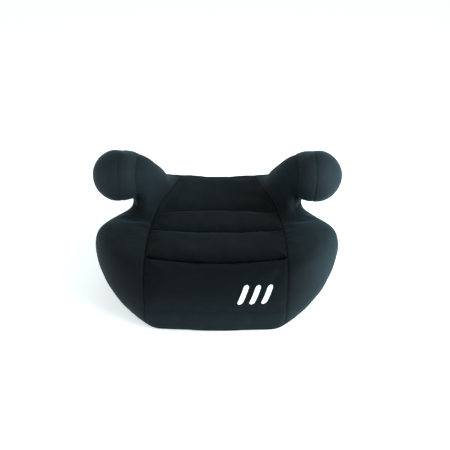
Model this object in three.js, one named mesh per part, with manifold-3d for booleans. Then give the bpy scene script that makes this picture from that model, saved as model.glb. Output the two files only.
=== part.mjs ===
// Backless booster seat: a moulded foam block with two hooked armrests, a foam seat pad,
// a fabric cover sewn from panels, and a plastic base tray that the cover's hem is looped to.
// Millimetres, +Z up, the open front faces -Y. The origin is on the floor under the middle.
import * as THREE from 'three';
import Module from 'manifold-3d';
import { mergeVertices } from 'three/addons/utils/BufferGeometryUtils.js';

const wasm = await Module();
wasm.setup();

// ---- Driving dimensions ----
const DEPTH = 380; // front edge to rear face
const COVER_T = 3; // fabric with a thin foam backing
const GAP = 0.3; // between neighbouring pieces
const CORE_INSET = COVER_T + GAP;
const COVER_FLOOR = 1.5; // the cover's underside clears the floor, the part stands on its tray
const EDGE_R = 6; // bottom edge of the body
const FRONT_BOW = 7; // the front face is bowed forward by this much in its middle
const TOP = 400; // above everything

// The body, as [distance behind the front edge, value].
const FLOOR_HALF_WIDTH = [[0, 99], [15, 111], [40, 129], [80, 149], [120, 163], [160, 170],
  [200, 164], [235, 148], [265, 138], [300, 133], [340, 131], [380, 128]];
const MOST_HALF_WIDTH = [[0, 108], [15, 128], [40, 151], [80, 175], [120, 192], [155, 198],
  [190, 192], [225, 168], [255, 146], [285, 138], [340, 136], [380, 132]];
const MOST_WIDTH_Z = [[0, 42], [60, 56], [150, 69], [230, 62], [300, 60], [380, 55]];
const CREST_HALF_WIDTH = [[0, 84], [40, 122], [90, 146], [140, 156],
  [190, 144], [240, 124], [300, 116], [380, 106]];
const CREST_Z = [[0, 97], [50, 103], [100, 104], [150, 101], [200, 95], [250, 98], [320, 103], [380, 101]];
const SEAT_Z = [[0, 94], [60, 97], [110, 92], [170, 87], [240, 86], [300, 90], [350, 95], [380, 95]];

// The turn of the body's ends: over what distance, how far down and how far in.
const FRONT_ROLL = { reach: 42, drop: 44, narrow: 9 };
const REAR_ROLL = { reach: 30, drop: 26, narrow: 22 };

// An armrest's middle line: [x, distance behind the front edge, height, half width, half height].
const ARM_LINE = [[108, 338, 59, 24, 36], [111, 314, 83, 25, 36], [117, 288, 105, 30, 36],
  [129, 262, 130, 38, 35], [146, 240, 153, 44, 37], [164, 223, 156, 46, 44]];

// The neck that fills in under each armrest: [x, distance behind the front edge, height,
// half width, half depth] of its level rings.
const NECK_LINE = [[120, 250, 60, 20, 60], [121, 248, 85, 21, 62], [122, 246, 100, 20, 58],
  [122, 246, 118, 19, 49], [124, 246, 134, 17, 41], [126, 246, 146, 13, 30]];

// The cover's seams.
const PANEL_HALF_WIDTH = [[-20, 102], [60, 105], [110, 107], [180, 106], [231, 97],
  [262, 88], [289, 81], [345, 72], [400, 69]];
const CROSS_SEAMS = [{ behind: 53, bow: 5 }, { behind: 142, bow: -10 }, { behind: 206, bow: -27 }];
const BACK_SEAM = 354;
const SIDE_STEP = 15; // between the places where the strip's side seams turn
const BAND_TOP = 37;
const ARM_FOOT = { x: 133, z: 106 }; // seam round each armrest where it leaves the neck
const ARM_SEAM_X = 160; // seam over each armrest, front to back
const HEM_TOP = COVER_FLOOR + EDGE_R;

const PAD = { t: 12, inset: 28, front: 62, back: 338 };
const HEM_WIDTH = 24; // how far the hem turns in under the body
const HEM_ELASTIC = { width: 6, t: 2.4 };
const TRAY = { plateZ: 7, plateT: 3, inset: 15, ringInset: 58, wall: 4, ribPitch: 52, footR: 18 };
const POCKET = { side: 36, pitch: 52, depth: 42 };
const PIN = { headR: 9, headT: 2.2, headZ: 1, neckR: 3.2, length: 34, barbR: 4.6, clearance: 0.3 };
const PIN_SPOTS = [[93, 75], [126, 158], [87, 318]]; // [x, distance behind the front edge], mirrored
const LOOP_R = 1.2;

// ---- Helpers ----

// A smooth function through a list of [at, value].
function through(list) {
  const slope = list.map((_, i) => {
    const a = list[Math.max(i - 1, 0)];
    const b = list[Math.min(i + 1, list.length - 1)];
    return (b[1] - a[1]) / (b[0] - a[0]);
  });
  return (at) => {
    if (at <= list[0][0]) return list[0][1];
    const i = list.findIndex((p) => p[0] >= at);
    if (i < 0) return list.at(-1)[1];
    const [a, b] = [list[i - 1], list[i]];
    const w = b[0] - a[0];
    const t = (at - a[0]) / w;
    const [t2, t3] = [t * t, t * t * t];
    return (2 * t3 - 3 * t2 + 1) * a[1] + (t3 - 2 * t2 + t) * w * slope[i - 1]
      + (3 * t2 - 2 * t3) * b[1] + (t3 - t2) * w * slope[i];
  };
}

const floorHalfWidth = through(FLOOR_HALF_WIDTH);
const mostHalfWidth = through(MOST_HALF_WIDTH);
const mostWidthZ = through(MOST_WIDTH_Z);
const crestHalfWidth = through(CREST_HALF_WIDTH);
const crestZ = through(CREST_Z);
const seatZ = through(SEAT_Z);
const panelHalfWidth = through(PANEL_HALF_WIDTH);

// The share of an end's turn left at a distance from that end: 1 at the end, 0 past its reach.
const turnLeft = (distance, reach) =>
  (distance >= reach ? 0 : 1 - Math.sqrt(1 - (1 - Math.max(distance, 0) / reach) ** 2));
const clamp01 = (t) => Math.min(Math.max(t, 0), 1);
const smooth = (t) => t * t * (3 - 2 * t);
const yAt = (behindFront) => behindFront - DEPTH / 2;
const mirrored = (manifold) => manifold.mirror([1, 0, 0]);

function solid(geometry) {
  const bare = new THREE.BufferGeometry().setAttribute('position', geometry.getAttribute('position'));
  if (geometry.index) bare.setIndex(geometry.index);
  const merged = mergeVertices(bare, 1e-3);
  const made = (triangles) => new wasm.Manifold(new wasm.Mesh({
    numProp: 3,
    vertProperties: merged.attributes.position.array,
    triVerts: triangles,
  }));
  const triangles = new Uint32Array(merged.index.array);
  const first = made(triangles);
  return first.volume() > 0 ? first : made(triangles.reverse());
}

// A closed surface over rings of points, with flat ends.
function skin(rings) {
  const n = rings[0].length;
  const points = rings.flat();
  const index = [];
  for (let i = 0; i < rings.length - 1; i++) {
    for (let j = 0; j < n; j++) {
      const [a, b] = [i * n + j, i * n + ((j + 1) % n)];
      index.push(a, b + n, a + n, a, b, b + n);
    }
  }
  for (const at of [0, rings.length - 1]) {
    points.push(rings[at].reduce((s, p) => s.add(p), new THREE.Vector3()).divideScalar(n));
    for (let j = 0; j < n; j++) {
      const edge = [at * n + j, at * n + ((j + 1) % n)];
      if (at === 0) edge.reverse();
      index.push(points.length - 1, ...edge);
    }
  }
  const geometry = new THREE.BufferGeometry().setFromPoints(points);
  geometry.setIndex(index);
  return solid(geometry);
}

// A plan outline of [x, distance behind the front edge] points, raised between two heights.
function prism(outline, low, high, hole) {
  const shape = new THREE.Shape(outline.map(([x, behind]) => new THREE.Vector2(x, yAt(behind))));
  if (hole) shape.holes.push(new THREE.Path(hole.map(([x, behind]) => new THREE.Vector2(x, yAt(behind)))));
  const geometry = new THREE.ExtrudeGeometry(shape, { depth: high - low, bevelEnabled: false });
  geometry.translate(0, 0, low);
  return solid(geometry);
}

const rectangle = (x0, x1, near, far) => [[x0, near], [x1, near], [x1, far], [x0, far]];

function disc(x, behind, radius, low, high, sides = 20) {
  const geometry = new THREE.CylinderGeometry(radius, radius, high - low, sides);
  geometry.rotateX(Math.PI / 2);
  geometry.translate(x, yAt(behind), (low + high) / 2);
  return solid(geometry);
}

// ---- The body's form, shrunk by an inset ----
function bodySection(behind, inset) {
  const front = turnLeft(behind - inset, FRONT_ROLL.reach - inset);
  const rear = turnLeft(DEPTH - inset - behind, REAR_ROLL.reach - inset);
  const narrow = front * FRONT_ROLL.narrow + rear * REAR_ROLL.narrow + inset;
  const drop = front * FRONT_ROLL.drop + rear * REAR_ROLL.drop + inset;
  const edge = Math.max(turnLeft(behind - inset, EDGE_R), turnLeft(DEPTH - inset - behind, EDGE_R));
  const [floorX, mostX] = [floorHalfWidth(behind) - narrow, mostHalfWidth(behind) - narrow];
  const crestX = crestHalfWidth(behind) - narrow;
  const [topZ, middleZ] = [crestZ(behind) - drop, seatZ(behind) - drop];
  const mostZ = Math.min(mostWidthZ(behind), topZ - 12);
  const floorZ = COVER_FLOOR + inset + EDGE_R * edge;
  const half = [[0, floorZ], [(floorX - EDGE_R) / 2, floorZ]];
  for (let i = 0; i <= 2; i++) {
    const a = (i / 2) * (Math.PI / 2);
    half.push([floorX - EDGE_R + EDGE_R * Math.sin(a), floorZ + EDGE_R * (1 - Math.cos(a))]);
  }
  for (let i = 1; i <= 3; i++) {
    const t = i / 3;
    const x = floorX + (mostX - floorX) * Math.sin((t * Math.PI) / 2);
    half.push([x, floorZ + EDGE_R + (mostZ - floorZ - EDGE_R) * t]);
  }
  for (let i = 1; i <= 5; i++) {
    const a = (i / 5) * (Math.PI / 2);
    const x = crestX + (mostX - crestX) * Math.cos(a) ** 0.8;
    half.push([x, mostZ + (topZ - mostZ) * Math.sin(a) ** 0.8]);
  }
  for (let i = 1; i <= 5; i++) {
    const x = crestX * (1 - i / 5);
    half.push([x, middleZ + (topZ - middleZ) * smooth(clamp01((x / crestX - 0.1) / 0.9))]);
  }
  const left = half.slice(1, -1).reverse().map(([x, z]) => [-x, z]);
  const nearFront = Math.max(0, 1 - behind / 70);
  return [...half, ...left].map(([x, z]) => {
    const bow = FRONT_BOW * (1 - Math.max(0, 1 - (x / 110) ** 2));
    return new THREE.Vector3(x, yAt(behind) + bow * nearFront, z);
  });
}

function body(inset) {
  const count = 21;
  const rings = [];
  for (let i = 0; i <= count; i++) {
    const even = i / count;
    const eased = (1 - Math.cos(Math.PI * even)) / 2;
    rings.push(bodySection(inset + (DEPTH - 2 * inset) * (0.7 * eased + 0.3 * even), inset));
  }
  return skin(rings);
}

// ---- One armrest's form on the +X side: a bent arm that hooks forward over the belt's path ----
const armMiddle = new THREE.CatmullRomCurve3(
  ARM_LINE.map(([x, behind, z]) => new THREE.Vector3(x, yAt(behind), z)), false, 'centripetal');
const armWidth = through(ARM_LINE.map((p, i) => [i / (ARM_LINE.length - 1), p[3]]));
const armHeight = through(ARM_LINE.map((p, i) => [i / (ARM_LINE.length - 1), p[4]]));

function arm(inset) {
  const rings = [];
  const [sides, steps, capSteps] = [14, 7, 4];
  const ring = (t, forward, shrink) => {
    const middle = armMiddle.getPoint(t);
    const along = armMiddle.getTangent(t).normalize();
    const across = new THREE.Vector3(0, 0, 1).cross(along).normalize();
    const up = along.clone().cross(across);
    middle.addScaledVector(along, forward);
    const points = [];
    for (let j = 0; j < sides; j++) {
      const a = (j / sides) * 2 * Math.PI;
      points.push(middle.clone()
        .addScaledVector(across, (armWidth(t) - inset) * shrink * Math.cos(a))
        .addScaledVector(up, (armHeight(t) - inset) * shrink * Math.sin(a)));
    }
    return points;
  };
  for (let i = 0; i < steps; i++) rings.push(ring(i / steps, 0, 1));
  const capLength = (ARM_LINE.at(-1)[3] + ARM_LINE.at(-1)[4]) / 2 - inset;
  for (let i = 0; i < capSteps; i++) {
    const a = (i / capSteps) * (Math.PI / 2);
    rings.push(ring(1, capLength * Math.sin(a), Math.cos(a)));
  }
  rings.push(ring(1, capLength * 0.995, 0.1));
  return skin(rings);
}

function neck(inset) {
  const sides = 16;
  return skin(NECK_LINE.map(([x, behind, z, halfWidth, halfDepth]) => {
    const ring = [];
    for (let j = 0; j < sides; j++) {
      const a = (j / sides) * 2 * Math.PI;
      const along = (halfDepth - inset) * Math.sin(a);
      ring.push(new THREE.Vector3(x + (halfWidth - inset) * Math.cos(a), yAt(behind) + along, z - inset));
    }
    return ring;
  }));
}

function form(inset) {
  const one = arm(inset).add(neck(inset));
  return body(inset).add(one).add(mirrored(one));
}

const group = new THREE.Group();

function addNode(name, manifold, colour, roughness = 0.9) {
  const mesh = manifold.getMesh();
  const positions = new Float32Array(mesh.numVert * 3);
  for (let i = 0; i < mesh.numVert; i++) {
    positions.set(mesh.vertProperties.subarray(i * mesh.numProp, i * mesh.numProp + 3), i * 3);
  }
  const geometry = new THREE.BufferGeometry();
  geometry.setAttribute('position', new THREE.BufferAttribute(positions, 3));
  geometry.setIndex(new THREE.BufferAttribute(mesh.triVerts, 1));
  geometry.computeVertexNormals();
  const node = new THREE.Mesh(geometry, new THREE.MeshStandardMaterial({ color: colour, roughness }));
  node.name = name;
  group.add(node);
}

// ---- Plan outlines ----

// The footprint of the body drawn in by a distance, from the front edge round to it again.
function footprint(inset) {
  const side = [];
  const count = 22;
  for (let i = 0; i <= count; i++) {
    const behind = DEPTH * (i / count);
    const corner = turnLeft(behind, FRONT_ROLL.reach) * FRONT_ROLL.narrow
      + turnLeft(DEPTH - behind, REAR_ROLL.reach) * REAR_ROLL.narrow;
    side.push([floorHalfWidth(behind) - corner, behind]);
  }
  const moved = side.map(([x, behind], i) => {
    const [a, b] = [side[Math.max(i - 1, 0)], side[Math.min(i + 1, count)]];
    const [dx, dy] = [b[0] - a[0], b[1] - a[1]];
    const length = Math.hypot(dx, dy);
    return [x - (inset * dy) / length, behind + (inset * dx) / length];
  });
  const kept = moved.filter(([, behind]) => behind > inset && behind < DEPTH - inset);
  const ends = [inset, DEPTH - inset].map((behind) => {
    const gap = (p) => Math.abs(p[1] - behind);
    const near = kept.reduce((best, p) => (gap(p) < gap(best) ? p : best));
    return [near[0] - Math.abs(near[1] - behind) * 0.6, behind];
  });
  const half = [ends[0], ...kept, ends[1]];
  return [...half, ...half.slice().reverse().map(([x, behind]) => [-x, behind])];
}

// The strip of top panels, narrowed by a margin, between two lines across it.
function strip(margin, near, far) {
  const steps = 10;
  const edge = (line) => {
    const points = [];
    for (let i = 0; i <= steps; i++) {
      const across = -1 + (2 * i) / steps;
      const behind = line(across);
      points.push([across * (panelHalfWidth(behind) - margin), behind]);
    }
    return points;
  };
  const [nearEdge, farEdge] = [edge(near), edge(far)];
  const [low, high] = [near(1), far(1)];
  // Every strip turns at the same places along its sides, so neighbours keep their gap.
  const sideEdge = [];
  for (let behind = SIDE_STEP * Math.ceil((low + 1) / SIDE_STEP); behind < high - 1; behind += SIDE_STEP) {
    sideEdge.push([panelHalfWidth(behind) - margin, behind]);
  }
  return [...nearEdge, ...sideEdge, ...farEdge.reverse(), ...sideEdge.reverse().map(([x, b]) => [-x, b])];
}

const seamLine = ({ behind, bow }, shift) => (t) => behind + shift - bow * (1 - t * t);
const straight = (behind) => () => behind;

// ---- The cover ----
const HALF_GAP = GAP / 2;
const outerForm = form(0);
const cover = outerForm.subtract(form(COVER_T));
const above = (z) => prism(rectangle(-TOP, TOP, -TOP, 2 * TOP), z, TOP);
const below = (z) => prism(rectangle(-TOP, TOP, -TOP, 2 * TOP), -TOP, z);

const hemOpening = prism(footprint(HEM_WIDTH), -TOP, COVER_FLOOR + COVER_T + EDGE_R);
addNode('cover_hem', cover.intersect(below(HEM_TOP - HALF_GAP)).subtract(hemOpening), 0x1a1e20);

const upperCover = cover.intersect(above(HEM_TOP + HALF_GAP));
const armSpace = (shift) => {
  const one = prism(rectangle(ARM_FOOT.x + shift, TOP, -TOP, 2 * TOP), ARM_FOOT.z + shift, TOP);
  return one.add(mirrored(one));
};
const bodyCover = upperCover.subtract(armSpace(-HALF_GAP));
const armCover = upperCover.intersect(armSpace(HALF_GAP));

const topOnly = (outline) => prism(outline, 50, TOP);
const seams = CROSS_SEAMS;
const topPanels = [
  ['cover_seat_rear', strip(HALF_GAP, seamLine(seams[2], HALF_GAP), straight(BACK_SEAM - HALF_GAP))],
  ['cover_channel_rear', strip(HALF_GAP, seamLine(seams[1], HALF_GAP), seamLine(seams[2], -HALF_GAP))],
  ['cover_channel_front', strip(HALF_GAP, seamLine(seams[0], HALF_GAP), seamLine(seams[1], -HALF_GAP))],
];
for (const [name, outline] of topPanels) addNode(name, bodyCover.intersect(topOnly(outline)), 0x15191b);

const frontStrip = strip(HALF_GAP, straight(-20), seamLine(seams[0], -HALF_GAP));
addNode('cover_seat_front', bodyCover.intersect(prism(frontStrip, BAND_TOP + HALF_GAP, TOP)), 0x15191b);
addNode('cover_front_band', bodyCover.intersect(prism(frontStrip, 0, BAND_TOP - HALF_GAP)), 0x1d2327);

const middle = prism(strip(-HALF_GAP, straight(-20), straight(BACK_SEAM + HALF_GAP)), -TOP, TOP);
const backOf = prism(rectangle(-TOP, TOP, BACK_SEAM + HALF_GAP, 2 * TOP), -TOP, TOP);
const frontOf = prism(rectangle(-TOP, TOP, -TOP, BACK_SEAM - HALF_GAP), -TOP, TOP);
const [plusX, minusX] = [prism(rectangle(0, TOP, -TOP, 2 * TOP), -TOP, TOP),
  prism(rectangle(-TOP, 0, -TOP, 2 * TOP), -TOP, TOP)];
const sides = bodyCover.intersect(frontOf).subtract(middle);
addNode('cover_side_left', sides.intersect(minusX), 0x1a1e20);
addNode('cover_side_right', sides.intersect(plusX), 0x1a1e20);
addNode('cover_back', bodyCover.intersect(backOf), 0x1a1e20);

const [innerArms, outerArms] = [-1, 1].map((sign) => {
  const x = ARM_SEAM_X + sign * HALF_GAP;
  const outline = sign < 0 ? rectangle(0, x, -TOP, 2 * TOP) : rectangle(x, TOP, -TOP, 2 * TOP);
  return armCover.intersect(prism(outline, 0, TOP));
});
addNode('arm_cover_inner_right', innerArms, 0x1a1e20);
addNode('arm_cover_outer_right', outerArms, 0x1a1e20);
addNode('arm_cover_inner_left', mirrored(innerArms), 0x1a1e20);
addNode('arm_cover_outer_left', mirrored(outerArms), 0x1a1e20);

// ---- Elastic binding along the inner edge of the hem ----
const elasticZ = COVER_FLOOR + 0.3;
addNode('hem_elastic', prism(footprint(HEM_WIDTH + GAP), elasticZ, elasticZ + HEM_ELASTIC.t,
  footprint(HEM_WIDTH + GAP + HEM_ELASTIC.width)), 0x2a2c2e);

// ---- Seat pad, let into the top of the core ----
const padOutline = (grow) => {
  const outline = [];
  for (let i = 0; i <= 8; i++) {
    const behind = PAD.front - grow + ((PAD.back - PAD.front + 2 * grow) * i) / 8;
    outline.push([panelHalfWidth(behind) - PAD.inset + grow, behind]);
  }
  return [...outline, ...outline.slice().reverse().map(([x, behind]) => [-x, behind])];
};
const coreForm = form(CORE_INSET);
const padForm = body(CORE_INSET + PAD.t);
addNode('seat_pad', coreForm.intersect(prism(padOutline(0), 50, TOP)).subtract(padForm), 0xd9d3a8);

// ---- Base tray: plate, rim ring, ribs and a round foot under the middle ----
const ribTop = TRAY.plateZ + 0.5;
const ribBounds = prism(footprint(TRAY.ringInset + 1), -1, TOP);
let tray = prism(footprint(TRAY.inset), TRAY.plateZ, TRAY.plateZ + TRAY.plateT)
  .add(prism(footprint(TRAY.ringInset), 0, ribTop, footprint(TRAY.ringInset + TRAY.wall)))
  .add(disc(0, DEPTH / 2, TRAY.footR, 0, ribTop, 28));
for (let i = -1; i <= 1; i++) {
  const x = i * TRAY.ribPitch;
  const outline = rectangle(x - TRAY.wall / 2, x + TRAY.wall / 2, 0, DEPTH);
  tray = tray.add(prism(outline, 0.8, ribTop).intersect(ribBounds));
}
for (let i = -2; i <= 2; i++) {
  const behind = DEPTH / 2 + i * TRAY.ribPitch;
  const outline = rectangle(-TOP, TOP, behind - TRAY.wall / 2, behind + TRAY.wall / 2);
  tray = tray.add(prism(outline, 0.8, ribTop).intersect(ribBounds));
}
const pinSpots = PIN_SPOTS.flatMap(([x, behind]) => [[x, behind], [-x, behind]]);
for (const [x, behind] of pinSpots) {
  tray = tray.subtract(disc(x, behind, PIN.neckR + PIN.clearance, -1, TOP, 14));
}
addNode('base_tray', tray, 0x2b2f33, 0.6);

// ---- Foam core, with its pad recess, tray recess, lightening pockets and pin holes ----
const trayTop = TRAY.plateZ + TRAY.plateT + GAP;
let core = coreForm
  .subtract(prism(padOutline(GAP), 50, TOP).subtract(body(CORE_INSET + PAD.t + GAP)))
  .subtract(prism(footprint(TRAY.inset - GAP), -1, trayTop));
for (let i = -2.5; i <= 2.5; i++) {
  for (let j = -1; j <= 1; j++) {
    const [x, behind] = [j * POCKET.pitch, DEPTH / 2 + i * POCKET.pitch];
    const half = POCKET.side / 2;
    const outline = rectangle(x - half, x + half, behind - half, behind + half);
    core = core.subtract(prism(outline, 0, trayTop + POCKET.depth));
  }
}
for (const [x, behind] of pinSpots) {
  core = core.subtract(disc(x, behind, PIN.barbR + PIN.clearance, 0, PIN.headZ + PIN.length + 2, 14));
}
addNode('foam_core', core, 0x43474a, 0.95);

// ---- Barbed pins through the tray into the core, and the elastic loops from the hem round them ----
function pin(x, behind) {
  const { headR, headT, headZ, neckR, length, barbR } = PIN;
  const tip = headZ + length;
  const barb = (at) => [[neckR, at - 4], [barbR, at - 4], [neckR, at]];
  const profile = [[0, headZ], [headR - 1, headZ], [headR, headZ + headT], [neckR, headZ + headT],
    ...barb(tip - 8), ...barb(tip), [0, tip]];
  const geometry = new THREE.LatheGeometry(profile.map(([r, z]) => new THREE.Vector2(r, z)), 12);
  geometry.rotateX(Math.PI / 2);
  geometry.translate(x, yAt(behind), 0);
  return solid(geometry);
}

// A flat-sided loop of elastic cord from the hem's binding to a pin.
function loop(x, behind) {
  const edge = footprint(HEM_WIDTH + GAP + HEM_ELASTIC.width + GAP);
  const i = edge.findIndex((p, k) => p[1] <= behind && edge[k + 1][1] > behind);
  const [a, b] = [edge[i], edge[i + 1]];
  const edgeX = a[0] + ((b[0] - a[0]) * (behind - a[1])) / (b[1] - a[1]);
  const slope = Math.atan2(b[0] - a[0], b[1] - a[1]);
  const reach = (edgeX - Math.abs(x)) * Math.cos(slope) - 2 * LOOP_R;
  const turn = x > 0 ? -slope : Math.PI + slope;
  const inner = PIN.neckR + GAP;
  const stadium = (r) => {
    const outline = [];
    for (const [middle, from] of [[0, Math.PI / 2], [reach - inner, -Math.PI / 2]]) {
      for (let i = 0; i <= 5; i++) {
        const a = from + (i / 5) * Math.PI;
        const [u, v] = [middle + r * Math.cos(a), r * Math.sin(a)];
        const [cos, sin] = [Math.cos(turn), Math.sin(turn)];
        outline.push([x + u * cos - v * sin, behind + u * sin + v * cos]);
      }
    }
    return outline;
  };
  const low = PIN.headZ + PIN.headT + GAP;
  return prism(stadium(inner + 2 * LOOP_R), low, low + 2 * LOOP_R, stadium(inner));
}

pinSpots.forEach(([x, behind], i) => {
  const name = `${x > 0 ? 'right' : 'left'}_${['front', 'middle', 'rear'][Math.floor(i / 2)]}`;
  addNode(`pin_${name}`, pin(x, behind), 0x202326, 0.5);
  addNode(`elastic_loop_${name}`, loop(x, behind), 0x2a2c2e);
});

export default group;
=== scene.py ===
import math

import bmesh
import bpy
import numpy as np
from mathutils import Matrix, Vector
from mathutils.bvhtree import BVHTree
from mathutils.kdtree import KDTree


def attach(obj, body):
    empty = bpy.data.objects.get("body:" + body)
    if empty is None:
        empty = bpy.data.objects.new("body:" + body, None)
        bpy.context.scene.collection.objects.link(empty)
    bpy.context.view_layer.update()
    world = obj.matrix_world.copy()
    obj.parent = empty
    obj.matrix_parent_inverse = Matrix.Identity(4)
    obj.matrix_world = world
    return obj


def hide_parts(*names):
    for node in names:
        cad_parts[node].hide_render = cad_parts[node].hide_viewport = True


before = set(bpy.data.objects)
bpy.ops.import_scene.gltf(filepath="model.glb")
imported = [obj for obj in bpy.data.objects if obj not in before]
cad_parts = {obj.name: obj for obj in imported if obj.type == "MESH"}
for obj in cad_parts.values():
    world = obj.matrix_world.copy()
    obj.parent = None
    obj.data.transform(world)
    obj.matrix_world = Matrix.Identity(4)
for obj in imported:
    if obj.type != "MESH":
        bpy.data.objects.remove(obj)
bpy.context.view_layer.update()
scene = bpy.context.scene
MM = 0.001

# ---------------------------------------------------------------------------
# The studio: a pale sweep of card under a sky that is bright round the horizon, and
# softboxes behind, at each side and above, that draw a cool edge of light round the
# seat. They are much stronger on its right.
AIM = Vector((0, 0, 80)) * MM
DISTANCE, ELEVATION, AZIMUTH = 0.943, math.radians(28.9), math.radians(0.6)
LENS, SENSOR = 44.4, 36
SHIFT_RIGHT, SHIFT_UP = 0.018, -0.001

camera = bpy.data.objects.new("camera", bpy.data.cameras.new("camera"))
scene.collection.objects.link(camera)
scene.camera = camera
level_share = math.cos(ELEVATION)
away = Vector((math.sin(AZIMUTH) * level_share, -math.cos(AZIMUTH) * level_share, math.sin(ELEVATION)))
camera.location = AIM + away * DISTANCE
camera.rotation_euler = (-away).to_track_quat("-Z", "Y").to_euler()
camera.data.lens = LENS
camera.data.sensor_width = SENSOR
camera.data.shift_x = SHIFT_RIGHT
camera.data.shift_y = SHIFT_UP

scene.view_settings.view_transform = "Standard"
scene.world = bpy.data.worlds.new("studio")
scene.world.use_nodes = True


def softbox(name, place, size, power, tint):
    """A rectangular lamp that points at the seat."""
    lamp = bpy.data.lights.new(name, "AREA")
    lamp.shape, lamp.size, lamp.size_y = "RECTANGLE", size[0], size[1]
    lamp.energy, lamp.color = power, tint
    holder = bpy.data.objects.new(name, lamp)
    holder.location = place
    holder.rotation_euler = (AIM - holder.location).to_track_quat("-Z", "Y").to_euler()
    scene.collection.objects.link(holder)


softbox("behind", Vector((0, 1.2, 1.0)), (1.2, 0.5), 3.5, (0.7, 1, 0.95))
softbox("left_edge", Vector((-1.5, -0.3, 0.35)), (1, 0.7), 9, (0.6, 0.93, 1))
softbox("right_edge", Vector((1.3, -0.7, 0.6)), (1, 0.7), 46, (0.66, 0.93, 1))
softbox("right_above", Vector((1.0, -0.4, 1.0)), (0.8, 0.8), 4.5, (0.75, 0.97, 1))


class Field:
    """One socket of a material's nodes. Arithmetic on it adds Math nodes."""

    def __init__(self, tree, socket=None):
        self.tree, self.socket = tree, socket

    def node(self, kind, settings=(), inputs=(), out=0):
        """Adds a node, sets its settings first and then its sockets, and returns one of its outputs."""
        made = self.tree.nodes.new("ShaderNode" + kind)
        for name, value in dict(settings).items():
            setattr(made, name, value)
        for name, value in dict(inputs).items():
            if isinstance(value, Field):
                self.tree.links.new(value.socket, made.inputs[name])
            else:
                made.inputs[name].default_value = value
        return Field(self.tree, made.outputs[out])

    def maths(self, operation, *values):
        return self.node("Math", {"operation": operation}, dict(enumerate(values)))

    def __add__(self, other):
        return self.maths("ADD", self, other)

    def __sub__(self, other):
        return self.maths("SUBTRACT", self, other)

    def __rsub__(self, other):
        return self.maths("SUBTRACT", other, self)

    def __mul__(self, other):
        return self.maths("MULTIPLY", self, other)

    def __truediv__(self, other):
        return self.maths("DIVIDE", self, other)

    def __pow__(self, other):
        return self.maths("POWER", self, other)

    def __abs__(self):
        return self.maths("ABSOLUTE", self)

    def sine(self):
        return self.maths("SINE", self)

    __radd__, __rmul__ = __add__, __mul__


def new_material(name):
    """A material, and the place of the shaded point in metres, with its three parts."""
    material = bpy.data.materials.new(name)
    material.use_nodes = True
    start = Field(material.node_tree)
    place = start.node("TexCoord", out="Object")
    parts = [place.node("SeparateXYZ", inputs={0: place}, out=k) for k in range(3)]
    return material, place, parts


def shade(material, **sockets):
    """Sets the sockets of a material's shader. A socket's name is written with _ for a space."""
    shader = material.node_tree.nodes["Principled BSDF"]
    for name, value in sockets.items():
        socket = shader.inputs[name.replace("_", " ")]
        if isinstance(value, Field):
            material.node_tree.links.new(value.socket, socket)
        else:
            socket.default_value = value


def mixed(factor, low, high):
    """A colour between two, by a factor from 0 to 1."""
    return factor.node("Mix", {"data_type": "RGBA"}, {0: factor, 6: low, 7: high}, out=2)


def noise(place, scale, detail=3, roughness=0.5):
    """Cloudy noise from 0 to 1, with a number of lumps in a metre."""
    inputs = {"Scale": scale, "Detail": detail, "Roughness": roughness, "Vector": place}
    return place.node("TexNoise", inputs=inputs)


HORIZON, ZENITH = (1.1, 1.12, 1.14, 1), (0.34, 0.35, 0.35, 1)
DIM_FROM, DIM_TO = 0.12, 0.7

sky = Field(scene.world.node_tree)
height = abs(sky.node("SeparateXYZ", inputs={0: sky.node("TexCoord", out="Generated")}, out=2))
climb = height.node("MapRange", inputs={0: height, 1: DIM_FROM, 2: DIM_TO})
dome = mixed(climb, HORIZON, ZENITH)
background = scene.world.node_tree.nodes["Background"]
scene.world.node_tree.links.new(dome.socket, background.inputs["Color"])

sweep, place, _ = new_material("studio_sweep")
card = mixed(noise(place, 3), (0.9, 0.9, 0.9, 1), (0.94, 0.94, 0.94, 1))
shade(sweep, Base_Color=card, Roughness=0.9, Emission_Color=(1, 1, 1, 1), Emission_Strength=0.5)
SWEEP_HALF = 6
bm = bmesh.new()
bmesh.ops.create_grid(bm, x_segments=4, y_segments=4, size=SWEEP_HALF)
floor_mesh = bpy.data.meshes.new("floor")
bm.to_mesh(floor_mesh)
bm.free()
floor = bpy.data.objects.new("floor", floor_mesh)
floor_mesh.materials.append(sweep)
scene.collection.objects.link(floor)

# ---------------------------------------------------------------------------
# The covered form: the body is a low dish, broad over the thighs and drawn in
# behind, and an armrest rises from each rear corner and hooks forward over the
# belt's path. The sewn cover is stretched over all of it. Sizes are millimetres,
# and places are given as (behind the front edge, value).
DEPTH, COVER_FLOOR, EDGE_R = 380, 1.5, 6


def through(*points):
    """A smooth curve through (place, value) points, held level past its ends."""
    at, value = np.array(points, float).T
    near = np.arange(len(at))
    low, high = np.maximum(near - 1, 0), np.minimum(near + 1, len(at) - 1)
    slope = (value[high] - value[low]) / (at[high] - at[low])

    def curve(x):
        x = np.clip(x, at[0], at[-1])
        i = np.clip(np.searchsorted(at, x) - 1, 0, len(at) - 2)
        wide = at[i + 1] - at[i]
        t = (x - at[i]) / wide
        start = (2 * t**3 - 3 * t**2 + 1) * value[i] + (t**3 - 2 * t**2 + t) * wide * slope[i]
        return start + (3 * t**2 - 2 * t**3) * value[i + 1] + (t**3 - t**2) * wide * slope[i + 1]

    return curve


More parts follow.
